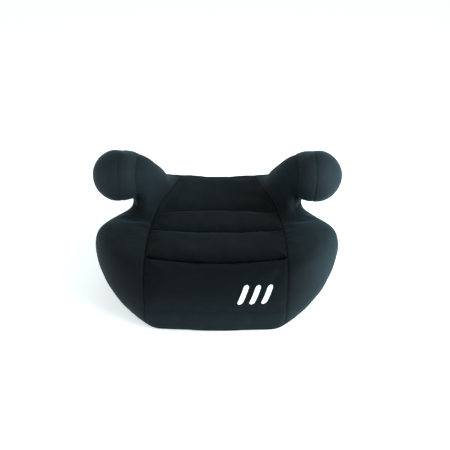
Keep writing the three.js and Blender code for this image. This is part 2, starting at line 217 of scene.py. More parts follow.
floor_half_width = through((0, 99), (15, 111), (40, 129), (80, 149), (120, 163), (160, 170),
                           (200, 164), (235, 148), (265, 138), (300, 133), (340, 131), (380, 128))
most_half_width = through((0, 108), (15, 128), (40, 151), (80, 175), (120, 192), (155, 198),
                          (190, 192), (225, 168), (255, 146), (285, 138), (340, 136), (380, 132))
most_width_height = through((0, 42), (60, 56), (150, 69), (230, 62), (300, 60), (380, 55))
crest_half_width = through((0, 84), (40, 122), (90, 146), (140, 156),
                           (190, 144), (240, 124), (300, 116), (380, 106))
crest_height = through((0, 97), (50, 103), (100, 104), (150, 101),
                       (200, 95), (250, 98), (320, 103), (380, 101))
seat_height = through((0, 94), (60, 97), (110, 92), (170, 87),
                      (240, 86), (300, 90), (350, 95), (380, 95))
panel_half_width = through((-20, 102), (60, 105), (110, 107), (180, 106), (231, 97),
                           (262, 88), (289, 81), (345, 72), (400, 69))
FRONT_TURN = {"reach": 42, "drop": 44, "narrow": 9}
REAR_TURN = {"reach": 30, "drop": 26, "narrow": 22}
FRONT_BOW = {"by": 7, "half_width": 110, "reach": 70}
LEAST_SHOULDER, SHOULDER_ROUND, DISH_FLAT = 12, 0.8, 0.1


def turn_left(distance, reach):
    """The share of an end's turn that is left at a distance from that end."""
    return 1 - np.sqrt(1 - (1 - np.clip(distance, 0, reach) / reach) ** 2)


def smooth(t):
    """From 0 to 1 as t goes from 0 to 1, softened at both."""
    t = np.clip(t, 0, 1)
    return t * t * (3 - 2 * t)


def body_ring(behind):
    """The body's outline at a distance behind its front edge, from the middle of its floor round."""
    front = turn_left(behind, FRONT_TURN["reach"])
    rear = turn_left(DEPTH - behind, REAR_TURN["reach"])
    narrow = front * FRONT_TURN["narrow"] + rear * REAR_TURN["narrow"]
    drop = front * FRONT_TURN["drop"] + rear * REAR_TURN["drop"]
    edge = max(turn_left(behind, EDGE_R), turn_left(DEPTH - behind, EDGE_R))
    floor_x, most_x = floor_half_width(behind) - narrow, most_half_width(behind) - narrow
    crest_x = crest_half_width(behind) - narrow
    top_z, middle_z = crest_height(behind) - drop, seat_height(behind) - drop
    most_z = min(most_width_height(behind), top_z - LEAST_SHOULDER)
    floor_z = COVER_FLOOR + EDGE_R * edge
    flat, turn, flare, over, top = (np.linspace(0, 1, n) for n in (9, 5, 9, 14, 16))
    angle = turn * math.pi / 2
    lean = over[1:] * math.pi / 2
    inward = crest_x * (1 - top[1:])
    side = [
        (flat[:-1] * (floor_x - EDGE_R), np.full(len(flat) - 1, floor_z)),
        (floor_x - EDGE_R + EDGE_R * np.sin(angle), floor_z + EDGE_R * (1 - np.cos(angle))),
        (floor_x + (most_x - floor_x) * np.sin(flare[1:] * math.pi / 2),
         floor_z + EDGE_R + (most_z - floor_z - EDGE_R) * flare[1:]),
        (crest_x + (most_x - crest_x) * np.maximum(np.cos(lean), 0) ** SHOULDER_ROUND,
         most_z + (top_z - most_z) * np.sin(lean) ** SHOULDER_ROUND),
        (inward, middle_z + (top_z - middle_z) * smooth((inward / crest_x - DISH_FLAT) / 0.9)),
    ]
    x, z = (np.concatenate(values) for values in zip(*side))
    x, z = np.concatenate([x, -x[-2:0:-1]]), np.concatenate([z, z[-2:0:-1]])
    bow = FRONT_BOW["by"] * (1 - np.maximum(0, 1 - (x / FRONT_BOW["half_width"]) ** 2))
    bow = bow * max(0, 1 - behind / FRONT_BOW["reach"])
    return np.stack([x, behind - DEPTH / 2 + bow, z], axis=1)


# An armrest's middle line, from inside the body to its front end: how far out, behind the
# front edge and up it is, and its half width and half height there.
ARM_LINE = np.array([(108, 338, 59, 24, 36), (111, 314, 83, 25, 36), (117, 288, 105, 30, 36),
                     (129, 262, 130, 38, 35), (146, 240, 153, 44, 37), (164, 223, 156, 46, 44)], float)
RING_POINTS, ALONG_ARM, ROUND_END, LAST_TURN, AHEAD = 40, 24, 12, 1.52, 0.02


def arm_rings(side):
    """Rings along an armrest, from inside the body to its rounded front end."""
    share = np.linspace(0, 1, len(ARM_LINE))
    lines = [through(*zip(share, column)) for column in ARM_LINE.T]
    length = (lines[3](1.0) + lines[4](1.0)) / 2
    steps = [(t, 0, 1) for t in np.linspace(0, 1, ALONG_ARM)[:-1]]
    steps += [(1, length * math.sin(a), math.cos(a)) for a in np.linspace(0, LAST_TURN, ROUND_END)]
    rings = []
    for t, forward, shrink in steps:
        middle = np.array([line(t) for line in lines[:3]], float)
        start, end = (t - AHEAD, t) if t > 1 - AHEAD else (t, t + AHEAD)
        ahead = np.array([line(end) - line(start) for line in lines[:3]], float)
        ahead /= np.linalg.norm(ahead)
        across = np.cross((0, 0, 1), ahead)
        across /= np.linalg.norm(across)
        up = np.cross(ahead, across)
        turn = np.linspace(0, 2 * math.pi, RING_POINTS, endpoint=False)[:, None]
        points = middle + ahead * forward
        points = points + across * lines[3](t) * shrink * np.cos(turn)
        points = points + up * lines[4](t) * shrink * np.sin(turn)
        points[:, 1] -= DEPTH / 2
        rings.append(points * (side, 1, 1))
    return rings


# The neck that fills in under an armrest, as level rings: how far out, behind the front
# edge and up each ring's middle is, and its half width and half depth.
NECK_LINE = [(120, 250, 60, 20, 60), (121, 248, 85, 21, 62), (122, 246, 100, 20, 58),
             (122, 246, 118, 19, 49), (124, 246, 134, 17, 41), (126, 246, 146, 13, 30)]


def neck_rings(side):
    """Rings up the neck under an armrest."""
    turn = np.linspace(0, 2 * math.pi, RING_POINTS, endpoint=False)
    rings = []
    for x, behind, z, half_width, half_depth in NECK_LINE:
        across = side * (x + half_width * np.cos(turn))
        along = behind - DEPTH / 2 + half_depth * np.sin(turn)
        rings.append(np.stack([across, along, np.full(RING_POINTS, z)], 1))
    return rings


def lofted(rings):
    """The points and faces of a closed skin over rings, with a fan over each end."""
    count = len(rings[0])
    points = np.concatenate([*rings, [rings[0].mean(0)], [rings[-1].mean(0)]])
    j = np.arange(count)
    k = (j + 1) % count
    band = np.stack([j, k, count + k, count + j], 1)
    faces = [(band + i * count).tolist() for i in range(len(rings) - 1)]
    last = (len(rings) - 1) * count
    fans = [[(len(points) - 2, b, a) for a, b in zip(j, k)],
            [(len(points) - 1, last + a, last + b) for a, b in zip(j, k)]]
    return points, sum(faces, []) + sum(fans, [])


def new_mesh(name, points, faces):
    """A mesh from points in millimetres."""
    mesh = bpy.data.meshes.new(name)
    mesh.from_pydata(np.asarray(points, float) * MM, [], [list(map(int, f)) for f in faces])
    mesh.update()
    return mesh


def new_piece(name, mesh):
    """An object in the scene that shows a mesh."""
    piece = bpy.data.objects.new(name, mesh)
    scene.collection.objects.link(piece)
    return piece


def face_outward(mesh):
    """Turns all of a closed mesh's faces to look outward."""
    bm = bmesh.new()
    bm.from_mesh(mesh)
    bmesh.ops.recalc_face_normals(bm, faces=bm.faces)
    bm.to_mesh(mesh)
    bm.free()


def finished(piece):
    """The mesh of a piece with its modifiers applied."""
    bpy.context.view_layer.update()
    graph = bpy.context.evaluated_depsgraph_get()
    mesh = bpy.data.meshes.new_from_object(piece.evaluated_get(graph))
    piece.modifiers.clear()
    piece.data = mesh
    return mesh


def points_of(mesh):
    """A mesh's points, in millimetres."""
    values = np.empty(len(mesh.vertices) * 3)
    mesh.vertices.foreach_get("co", values)
    return values.reshape(-1, 3) / MM


def normals_of(mesh):
    """The outward direction at each of a mesh's points."""
    values = np.empty(len(mesh.vertices) * 3)
    mesh.vertices.foreach_get("normal", values)
    return values.reshape(-1, 3)


def place_points(mesh, points):
    """Moves a mesh's points to places in millimetres."""
    mesh.vertices.foreach_set("co", (points * MM).ravel())
    mesh.update()


# The body's rings are closer together at its front and rear edges.
BODY_RINGS, CLOSER_AT_ENDS, VOXEL = 96, 0.7, 4.5
even = np.linspace(0, 1, BODY_RINGS)
places = DEPTH * (CLOSER_AT_ENDS * (1 - np.cos(math.pi * even)) / 2 + 0.3 * even)
points, faces = [], []
bodies = [[body_ring(p) for p in places]]
for side in (1, -1):
    bodies += [arm_rings(side), neck_rings(side)]
for rings in bodies:
    more, skin = lofted(rings)
    start = sum(len(p) for p in points)
    points.append(more)
    faces += [[start + i for i in face] for face in skin]
form = new_piece("cover_form", new_mesh("cover_form", np.concatenate(points), faces))
face_outward(form.data)
remesh = form.modifiers.new("one_skin", "REMESH")
remesh.mode, remesh.voxel_size = "VOXEL", VOXEL * MM
mesh = finished(form)

# The stretched fabric bridges the corners where each armrest rises out of the seat: above
# the seat, outside its centre strip, towards the rear, but not over the armrest's own side.
MOST_PULLED_IN, LEAST_SHARE = 1.2, 0.02
BRIDGE = {"above": (86, 12), "outside": (-16, 20), "behind": (170, 20)}
ARM_SIDE = {"outside": (122, 22), "above": (104, 16)}


def past(value, limit):
    """From 0 to 1 as a value passes a limit, given as where it starts and how long it takes."""
    return smooth((value - limit[0]) / limit[1])


x, y, z = points_of(mesh).T
behind, out = y + DEPTH / 2, np.abs(x)
foot = past(z, BRIDGE["above"]) * past(out - panel_half_width(behind), BRIDGE["outside"])
foot *= past(behind, BRIDGE["behind"])
foot *= 1 - past(out, ARM_SIDE["outside"]) * past(z, ARM_SIDE["above"])
bridge = form.vertex_groups.new(name="bridge")
for i in np.flatnonzero(foot > LEAST_SHARE):
    bridge.add([int(i)], float(foot[i]), "REPLACE")
for name, group, repeat in (("even_out", "", 5), ("stretch_over", "bridge", 150), ("settle", "", 8)):
    unstretched, outward = points_of(mesh), normals_of(mesh)
    relax = form.modifiers.new(name, "SMOOTH")
    relax.factor, relax.iterations, relax.vertex_group = 0.5, repeat, group
    mesh = finished(form)
    pulled_in = -((points_of(mesh) - unstretched) * outward).sum(1)
    too_far = np.maximum(pulled_in - MOST_PULLED_IN, 0)
    place_points(mesh, points_of(mesh) + outward * too_far[:, None])

# ---------------------------------------------------------------------------
# The cover's seams. The thread of each pulls a valley into the padding, and each is
# a level that is 0 along the seam. The centre strip of the seat has three seams
# across it that sew it down in channels, and they bow towards the front or the rear.
HEM_TOP = COVER_FLOOR + EDGE_R
BAND_TOP, BACK_SEAM, ARM_SEAM, SEAT_ABOVE = 37, 354, 160, 50
ARM_FOOT_X, ARM_FOOT_Z = 133, 106
CHANNELS = [{"behind": 53, "bow": 5}, {"behind": 142, "bow": -10}, {"behind": 206, "bow": -27}]


def behind_of(p):
    """How far points are behind the front edge."""
    return p[:, 1] + DEPTH / 2


def channel_level(k):
    """The level of a seam across the strip, which is above 0 behind it."""
    def level(p):
        across = np.clip(np.abs(p[:, 0]) / panel_half_width(behind_of(p)), 0, 1)
        return behind_of(p) - CHANNELS[k]["behind"] + CHANNELS[k]["bow"] * (1 - across**2)

    return level


def side_level(p):
    """The level of the seams at the strip's sides, which is above 0 outside it."""
    return np.abs(p[:, 0]) - panel_half_width(behind_of(p))


def arm_level(p):
    """The level of the seam round an armrest's foot, which is above 0 on the armrest."""
    return np.minimum(np.abs(p[:, 0]) - ARM_FOOT_X, p[:, 2] - ARM_FOOT_Z)


# The depth and half width of each kind of seam's valley, and how much painted shade darkens its bottom.
SIDE_VALLEY, ARM_VALLEY, LOW_VALLEY = (1.3, 2.2, 0.35), (0.5, 2.0, 0.16), (0.8, 2.0, 0.3)
ARM_CREASE = (1.6, 4.5, 0.5)
CHANNEL_VALLEYS = [(3.4, 8.0, 0.98), (2.4, 4.5, 0.72), (0.9, 4.0, 0.4)]
BAND_VALLEY, BACK_VALLEY = (0.5, 5.0, 0.1), (0.9, 2.2, 0.3)
ON_SEAM, BAND_REACH, CREASE_BELOW = 0.6, 60, 132


def seam_pull(p):
    """The valley at each of some points that lie on a seam."""
    valley = np.tile(SIDE_VALLEY, (len(p), 1))
    behind, z, arm = behind_of(p), p[:, 2], arm_level(p)
    off_side = side_level(p) < -ON_SEAM
    for k, kind in enumerate(CHANNEL_VALLEYS):
        valley[(z > SEAT_ABOVE) & off_side & (np.abs(channel_level(k)(p)) < ON_SEAM)] = kind
    valley[off_side & (np.abs(z - BAND_TOP) < ON_SEAM) & (behind < BAND_REACH)] = BAND_VALLEY
    valley[np.abs(behind - BACK_SEAM) < ON_SEAM] = BACK_VALLEY
    valley[arm > -ON_SEAM] = ARM_VALLEY
    valley[(arm > -ON_SEAM) & (arm < ON_SEAM) & (z < CREASE_BELOW)] = ARM_CREASE
    valley[z < HEM_TOP + ON_SEAM] = LOW_VALLEY
    return valley.T


def near_a_seam(p, reach):
    """Which points are close to a seam, and so are held by it."""
    behind, x, z = behind_of(p), np.abs(p[:, 0]), p[:, 2]
    strip, arm = side_level(p), arm_level(p)
    body = arm < 0
    held = body & (behind < BACK_SEAM) & (np.abs(strip) < reach)
    for k in range(3):
        held |= (strip < 0) & (z > SEAT_ABOVE) & body & (np.abs(channel_level(k)(p)) < reach)
    held |= (strip < 0) & (behind < 40) & (np.abs(z - BAND_TOP) < reach)
    held |= body & (np.abs(behind - BACK_SEAM) < reach)
    held |= np.abs(arm) < reach
    held |= ~body & (np.abs(x - ARM_SEAM) < reach)
    return held | (z < HEM_TOP + reach)


# The padding swells between the seams that hold the fabric down, by a little at most.
HELD_REACH, MOST_SWELL, SWELL_STEPS = 3.2, 2.2, 16
STRETCH_KNIT = {
    "quality": 6,
    "mass": 0.25,
    "tension_stiffness": 12,
    "compression_stiffness": 12,
    "shear_stiffness": 6,
    "bending_stiffness": 8,
    "use_pressure": True,
    "uniform_pressure_force": 3,
    "shrink_min": -0.003,
    "vertex_group_mass": "held",
}
rest = points_of(mesh)
held = form.vertex_groups.new(name="held")
held.add([int(i) for i in np.flatnonzero(near_a_seam(rest, HELD_REACH))], 1, "REPLACE")
cloth = form.modifiers.new("swell", "CLOTH")
for name, value in STRETCH_KNIT.items():
    setattr(cloth.settings, name, value)
cloth.settings.effector_weights.gravity = 0
cloth.collision_settings.use_collision = False
cloth.point_cache.frame_end = SWELL_STEPS
for step in range(1, SWELL_STEPS + 1):
    scene.frame_set(step)
mesh = finished(form)
moved = points_of(mesh) - rest
length = np.linalg.norm(moved, axis=1, keepdims=True)
moved *= MOST_SWELL * np.tanh(length / MOST_SWELL) / np.maximum(length, 1e-6)
place_points(mesh, rest + moved)
scene.frame_set(1)

finer = form.modifiers.new("finer", "SUBSURF")
finer.levels = finer.render_levels = 2
mesh = finished(form)
facing = mesh.attributes.new("outward", "FLOAT_VECTOR", "POINT")
facing.data.foreach_set("vector", normals_of(mesh).ravel())


SNAP, ABOVE_HEM = 0.02, 0.2


def split(mesh, level):
    """Cuts a mesh where level is 0, and returns the part below it and the part above it.

    Each point's x is swapped for its level while a plane cuts, so the cut follows any curve.
    """
    bm = bmesh.new()
    bm.from_mesh(mesh)
    kept = bm.verts.layers.float.new("kept_x")
    for v, value in zip(bm.verts, level(points_of(mesh))):
        v[kept], v.co.x = v.co.x, value
    geometry = bm.verts[:] + bm.edges[:] + bm.faces[:]
    bmesh.ops.bisect_plane(bm, geom=geometry, dist=SNAP, plane_co=(0, 0, 0), plane_no=(1, 0, 0))
    parts = []
    for side in (-1, 1):
        half = bm.copy()
        kept = half.verts.layers.float["kept_x"]
        other = [f for f in half.faces if f.calc_center_median().x * side < 0]
        bmesh.ops.delete(half, geom=other, context="FACES")
        for v in half.verts:
            v.co.x = v[kept]
        half.verts.layers.float.remove(kept)
        part = bpy.data.meshes.new("part")
        half.to_mesh(part)
        half.free()
        parts.append(part)
    bm.free()
    return parts


lower, upper = split(mesh, lambda p: p[:, 2] - HEM_TOP - ABOVE_HEM)
body, arms = split(upper, arm_level)
seat, back = split(body, lambda p: behind_of(p) - BACK_SEAM)
strip, flanks = split(seat, side_level)
front, rear_half = split(strip, channel_level(0))
band, front = split(front, lambda p: p[:, 2] - BAND_TOP)
channel_front, rear_half = split(rear_half, channel_level(1))
channel_rear, seat_rear = split(rear_half, channel_level(2))
flank_left, flank_right = split(flanks, lambda p: p[:, 0])
arm_left, arm_right = split(arms, lambda p: p[:, 0])
outer_left, inner_left = split(arm_left, lambda p: p[:, 0] + ARM_SEAM)
inner_right, outer_right = split(arm_right, lambda p: p[:, 0] - ARM_SEAM)
bpy.data.objects.remove(form)

# ---------------------------------------------------------------------------
# The cover's fabric: a smooth black stretch knit on thin foam. Its face is fine
# rows of loops, it catches a cool sheen at grazing light, and it is a little
# paler and fuzzier where it is rubbed. Painted light makes it paler towards its
# edges, and painted shade darkens it down in the seams.
LOOP_WIDE, LOOP_HIGH, ROW_BEND = 1.1 * MM, 1.5 * MM, 1.6
SEAM_SHADOW, BETWEEN_LOOPS = (0.0016, 0.0018, 0.002, 1), (0.0006, 0.0008, 0.001, 1)
LINT, LINT_SHARE = (0.05, 0.055, 0.06, 1), 0.12


def knit(u, v):
    """The height of the knit's loops over two directions on the fabric, from 0 to 1."""
    across = u * (math.pi / LOOP_WIDE)
    rib = abs(across.sine())
    rows = (v * (2 * math.pi / LOOP_HIGH) + rib * ROW_BEND).sine() * 0.5 + 0.5
    return rib**0.7 * (rows * 0.55 + 0.45)


# The second colour of each pair is painted light: a paler teal laid where the lamps and the bright floor
# light the knit.
BLACK, PALE_PAINTED_LIGHT = (0.0022, 0.0029, 0.0035, 1), (0.0078, 0.0134, 0.0172, 1)
RUBBED_BLACK, RUBBED_PALE_PAINTED_LIGHT = (0.0042, 0.0054, 0.0065, 1), (0.0125, 0.0205, 0.026, 1)


def rising(value, start, end):
    """From 0 to 1 as a value goes from start to end, softened at both."""
    return value.node("MapRange", {"interpolation_type": "SMOOTHSTEP"}, {0: value, 1: start, 2: end})


# Painted light: the black is painted a paler teal out at the sides, more so on the right,
# high on the armrests, low down round the edge and at the rear. Each is a start, an end and a share.
PAINTED_LIGHT_MIDDLE = -20 * MM
PAINTED_LIGHT_OUT, PAINTED_LIGHT_HIGH = (0.124, 0.208, 1), (0.1, 0.15, 0.7)
PAINTED_LIGHT_LOW, PAINTED_LIGHT_REAR = (0.078, 0.018, 0.72), (0.02, 0.15, 0.8)
LOOP_BUMP, FOLD_BUMP = {"Strength": 0.55, "Distance": 0.00022}, {"Strength": 0.35, "Distance": 0.0012}


def fabric(name, sheen):
    """The knit, with more or less sheen on its face."""
    material, place, (x, y, z) = new_material(name)
    unlit_share = 1 - rising(abs(x - PAINTED_LIGHT_MIDDLE), *PAINTED_LIGHT_OUT[:2]) * PAINTED_LIGHT_OUT[2]
    for along, (start, end, share) in ((z, PAINTED_LIGHT_HIGH), (z, PAINTED_LIGHT_LOW), (y, PAINTED_LIGHT_REAR)):
        unlit_share = unlit_share * (1 - rising(along, start, end) * share)
    painted_light = 1 - unlit_share
    facing = place.node("NewGeometry", out="Normal")
    turned = [abs(place.node("SeparateXYZ", inputs={0: facing}, out=k)) ** 6 for k in range(3)]
    whole = turned[0] + turned[1] + turned[2]
    loops = (knit(y, z) * turned[0] + knit(x, z) * turned[1] + knit(x, y) * turned[2]) / whole
    fuzz = noise(place, 900, 2)
    worn = place.node("Attribute", {"attribute_name": "crown"}, out="Fac")
    cloudy = noise(place, 9, 4, 0.6)
    wear = worn * (cloudy * 0.9 + 0.1)
    # Painted light mixes the black towards its paler colours; the rubbed colours are real wear on the crowns.
    base = mixed(wear, mixed(painted_light, BLACK, PALE_PAINTED_LIGHT), mixed(painted_light, RUBBED_BLACK, RUBBED_PALE_PAINTED_LIGHT))
    colour = mixed((1 - loops) * 0.55, base, BETWEEN_LOOPS)
    lint = place.node("MapRange", inputs={0: noise(place, 420, 1), 1: 0.74, 2: 0.8})
    colour = mixed(lint * LINT_SHARE, colour, LINT)
    creases = noise(place, 38, 5, 0.62)
    bump = place.node("Bump", inputs={**LOOP_BUMP, "Height": loops + fuzz * 0.35})
    folds = place.node("Bump", inputs={**FOLD_BUMP, "Height": creases, "Normal": bump})
    shade(material, Base_Color=colour, Roughness=0.78 + cloudy * 0.12, Normal=folds,
          Sheen_Weight=sheen, Sheen_Roughness=0.3, Sheen_Tint=(0.35, 0.82, 1, 1),
          Specular_IOR_Level=0.07 + sheen)
    # Painted shade: down in the seam valleys the knit is mixed into a flat, dark diffuse shader.
    sunk = place.node("Attribute", {"attribute_name": "sunk"}, out="Fac")
    shadowed = place.node("BsdfDiffuse", inputs={"Color": SEAM_SHADOW})
    nodes = material.node_tree.nodes
    lit = Field(material.node_tree, nodes["Principled BSDF"].outputs[0])
    both = place.node("MixShader", inputs={0: sunk, 1: lit, 2: shadowed})
    material.node_tree.links.new(both.socket, nodes["Material Output"].inputs["Surface"])
    return material


seat_knit = fabric("black_seat_knit", 0.022)
side_knit = fabric("black_side_knit", 0.07)
arm_knit = fabric("black_arm_knit", 0.14)
band_knit = fabric("black_band_knit", 0.045)


def boundary_of(mesh):
    """The open edges of a mesh, as lists of point numbers that each go round once."""
    use = {}
    for face in mesh.polygons:
        for a, b in face.edge_keys:
            use[(a, b)] = use.get((a, b), 0) + 1
    near = {}
    for (a, b), count in use.items():
        if count == 1:
            near.setdefault(a, []).append(b)
            near.setdefault(b, []).append(a)
    loops = []
    while near:
        start = next(iter(near))
        loop, here = [start], start
        while True:
            there = near[here].pop()
            near[there].remove(here)
            if not near[here]:
                del near[here]
            if there == start:
                break
            loop.append(there)
            here = there
        if not near.get(start, True):
            del near[start]
        loops.append(loop)
    return loops


def ripple(p, wave, seed):
    """A smooth random field over points, from about -1 to 1, with swells about a wave long."""
    rng = np.random.default_rng(seed)
    total = np.zeros(len(p))
    for _ in range(10):
        way = rng.normal(size=3)
        way /= np.linalg.norm(way)
        turns = 2 * math.pi / (wave * rng.uniform(0.7, 1.5))
        total += np.sin(p @ way * turns + rng.uniform(0, 6.3))
    return total / 3.2


def add_piece(name, mesh, slot_name, *nodes):
    """A finished piece that takes the place of some of the CAD nodes."""
    piece = new_piece(name, mesh)
    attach(piece, "root")
    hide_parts(*nodes)
    return piece


def skin_of(mesh):
    """A mesh's faces in millimetres, to find the nearest place on them."""
    return BVHTree.FromPolygons([v.co / MM for v in mesh.vertices], [f.vertices[:] for f in mesh.polygons])


def round_loop(path):
    """A closed path with its first point again at its end, and how far along it each point is."""
    closed = np.concatenate([path, path[:1]])
    steps = np.linalg.norm(np.diff(closed, axis=0), axis=1)
    return closed, np.concatenate([[0], np.cumsum(steps)])


# Rows of stitches, noted while the panels are sewn, each as a middle, a direction and a
# normal. None are sewn along the hem or the front band.
STITCH = {"pitch": 3.8, "length": 2.7, "radius": 0.28, "in_from_edge": 2.6}
NO_STITCHES = {"above_hem": 3, "off_band": 3, "band_half": 100}
stitches = []


def stitch_along(piece, loops):
    """Notes a row of stitches just inside a panel's edges."""
    tree = skin_of(piece.data)
    for loop in loops:
        path, along = round_loop(loop)
        count = int(along[-1] / STITCH["pitch"])
        if count < 4:
            continue
        at = np.linspace(0, along[-1], count, endpoint=False)
        spots = np.stack([np.interp(at, along, path[:, k]) for k in range(3)], 1)
        way = np.roll(spots, -1, 0) - np.roll(spots, 1, 0)
        for spot, forward in zip(spots, way):
            at_band = (abs(spot[2] - BAND_TOP) < NO_STITCHES["off_band"]
                       and abs(spot[0]) < NO_STITCHES["band_half"])
            at_hem = spot[2] < HEM_TOP + NO_STITCHES["above_hem"]
            if at_hem or at_band or np.linalg.norm(forward) < STITCH["pitch"]:
                continue
            forward = Vector(forward).normalized()
            _, normal, _, _ = tree.find_nearest(Vector(spot))
            inside = normal.cross(forward).normalized() * STITCH["in_from_edge"]
            tries = [tree.find_nearest(Vector(spot) + inside * sign) for sign in (1, -1)]
            place, normal, _, away = min(tries, key=lambda found: found[3])
            stitches.append((place, forward, normal))


# Fine puckers stand beside each seam, and slack waves cross the open cloth.
PUCKER = {"wave": 13, "seed": 5, "from_seam": 5, "reach": 5, "high": 0.16}
SLACK = {"wave": 46, "seed": 11, "from_seam": 20, "high": 0.3}
TURNED_IN, RUBBED_FROM, RUBBED_OVER = 2.4, 2, 26
panels = {}


def sew_panel(name, mesh, node, slot_name, knit_used, crown, reach, fill):
    """One panel: it crowns between its seams, dips into them, and its edges turn in."""
    bpy.context.view_layer.update()
    p = points_of(mesh)
    outward = np.empty(len(p) * 3)
    mesh.attributes["outward"].data.foreach_get("vector", outward)
    outward = outward.reshape(-1, 3)
    outward /= np.maximum(np.linalg.norm(outward, axis=1, keepdims=True), 1e-6)
    rims = [np.array(rim) for rim in boundary_of(mesh)]
    edge = np.unique(np.concatenate(rims))
    deep, wide, dark = seam_pull(p[edge])
    tree = KDTree(len(edge))
    for i, v in enumerate(p[edge]):
        tree.insert(v, i)
    tree.balance()
    found = [tree.find(v) for v in p]
    away = np.array([f[2] for f in found])
    nearest = np.array([f[1] for f in found])
    valley = np.exp(-((away / wide[nearest]) ** 1.5)) * deep[nearest]
    beside = np.exp(-(((away - PUCKER["from_seam"]) / PUCKER["reach"]) ** 2))
    pucker = ripple(p, PUCKER["wave"], PUCKER["seed"]) * beside * PUCKER["high"]
    rise = crown * (1 - np.exp(-((away / reach) ** 1.6)))
    slack = ripple(p, SLACK["wave"], SLACK["seed"]) * SLACK["high"] * smooth(away / SLACK["from_seam"])
    place_points(mesh, p + outward * (rise - valley + pucker + slack)[:, None])
    # Painted shade along the bottom of each seam's valley, kept as a share for the material's mix.
    gloom = dark[nearest] * np.exp(-((away / (wide[nearest] * 0.5)) ** 2))
    note(mesh, crown=smooth((away - RUBBED_FROM) / RUBBED_OVER), sunk=gloom)
    loops = [points_of(mesh)[rim] for rim in rims]
    turn_in(mesh, outward, edge, TURNED_IN)
    mesh.shade_smooth()
    mesh.materials.append(knit_used)
    mesh.name = name
    piece = add_piece(name, mesh, slot_name, node)
    panels[name] = piece
    stitch_along(piece, loops)


def note(mesh, **fields):
    """Keeps values at a mesh's points for its material."""
    for name, values in fields.items():
        attribute = mesh.attributes.new(name, "FLOAT", "POINT")
        attribute.data.foreach_set("value", values.astype(np.float32))


def turn_in(mesh, outward, edge, depth):
    """Turns the cut edges of a panel down into the seam."""
    bm = bmesh.new()
    bm.from_mesh(mesh)
    bm.verts.ensure_lookup_table()
    inward = {int(i): Vector(-outward[i] * depth * MM) for i in edge}
    open_edges = [e for e in bm.edges if len(e.link_faces) == 1]
    number = {bm.verts[i].co.copy().freeze(): i for i in inward}
    made = bmesh.ops.extrude_edge_only(bm, edges=open_edges)["geom"]
    for v in made:
        if isinstance(v, bmesh.types.BMVert):
            v.co += inward[number[v.co.copy().freeze()]]
    bm.normal_update()
    bm.to_mesh(mesh)
    bm.free()


PANELS = [
    ("fabric_seat_rear", seat_rear, "cover_seat_rear", "seat_fabric", seat_knit, 1.4, 16, 0.6),
    ("fabric_channel_rear", channel_rear, "cover_channel_rear", "seat_fabric", seat_knit, 2.2, 13, 0.7),
    ("fabric_channel_front", channel_front, "cover_channel_front", "seat_fabric", seat_knit, 2.8, 14, 0.75),
    ("fabric_seat_front", front, "cover_seat_front", "seat_fabric", seat_knit, 2.2, 13, 0.7),
    ("fabric_front_band", band, "cover_front_band", "cover_fabric", band_knit, 0.6, 10, 0.5),
    ("fabric_flank_left", flank_left, "cover_side_left", "cover_fabric", side_knit, 1.0, 14, 0.6),
    ("fabric_flank_right", flank_right, "cover_side_right", "cover_fabric", side_knit, 1.0, 14, 0.6),
    ("fabric_back", back, "cover_back", "cover_fabric", side_knit, 0.8, 12, 0.55),
    ("fabric_arm_inner_left", inner_left, "arm_cover_inner_left", "cover_fabric", arm_knit, 0.6, 12, 0.7),
    ("fabric_arm_inner_right", inner_right, "arm_cover_inner_right", "cover_fabric", arm_knit, 0.6, 12, 0.7),
    ("fabric_arm_outer_left", outer_left, "arm_cover_outer_left", "cover_fabric", arm_knit, 0.6, 12, 0.7),
    ("fabric_arm_outer_right", outer_right, "arm_cover_outer_right", "cover_fabric", arm_knit, 0.6, 12, 0.7),
]
for panel in PANELS:
    sew_panel(*panel)

# The thread: short black stitches that sit a little proud of the fabric, each a bar of
# five rings. A ring is given as its place along the bar and its girth.
BAR_RINGS = [(-0.5, 0.35), (-0.36, 0.9), (0, 1), (0.36, 0.9), (0.5, 0.35)]
BAR_SIDES, BAR_DIP = 6, 0.6

thread, place, _ = new_material("black_thread")
thread_tint = mixed(noise(place, 800, 2), (0.003, 0.004, 0.005, 1), (0.007, 0.009, 0.01, 1))
shade(thread, Base_Color=thread_tint, Roughness=0.8, Specular_IOR_Level=0.15)


def stitch_mesh(spots):
    """Small rounded bars, one for each stitch, that dip at both ends."""
    n, last = BAR_SIDES, BAR_SIDES * (len(BAR_RINGS) - 1)
    round_way = np.linspace(0, 2 * math.pi, n, endpoint=False)
    points, faces = [], []
    for middle, forward, normal in spots:
        across = normal.cross(forward).normalized()
        start = len(points)
        for share, girth in BAR_RINGS:
            dip = normal * (BAR_DIP * abs(share)) ** 2
            centre = middle + forward * share * STITCH["length"] - dip
            for angle in round_way:
                spoke = across * math.cos(angle) + normal * math.sin(angle)
                points.append(centre + spoke * STITCH["radius"] * girth)
        for a in range(start, start + last, n):
            faces += [(a + k, a + (k + 1) % n, a + n + (k + 1) % n, a + n + k) for k in range(n)]
        faces += [range(start + n - 1, start - 1, -1), range(start + last, start + last + n)]
    mesh = new_mesh("stitches", points, faces)
    mesh.shade_smooth()
    mesh.materials.append(thread)
    return mesh


sewn_nodes = [panel[2] for panel in PANELS]
add_piece("thread_stitches", stitch_mesh(stitches), "cover_fabric", *sewn_nodes)

# ---------------------------------------------------------------------------
# The hem: the cover's lower edge, turned under the body, where an elastic draws
# it into small gathers.
HEM_WIDTH, HEM_TURNED_IN = 28, 2.2
GATHERS = {"round": 74, "high": 1.3, "from_rim": 9, "uneven": 2.5, "wave": 90, "seed": 3}
HEM_RUBBED, HEM_PAINTED_SHADE, HEM_PAINTED_SHADE_REACH = 20, 0.25, 1.4

rim_points = points_of(lower)[np.concatenate([np.array(rim) for rim in boundary_of(lower)])]
rim_tree = KDTree(len(rim_points))
for i, v in enumerate(rim_points):
    rim_tree.insert(v, i)
rim_tree.balance()


def from_rim(p):
    """How far points are from the cover's lower edge."""
    return np.array([rim_tree.find(v)[2] for v in p])


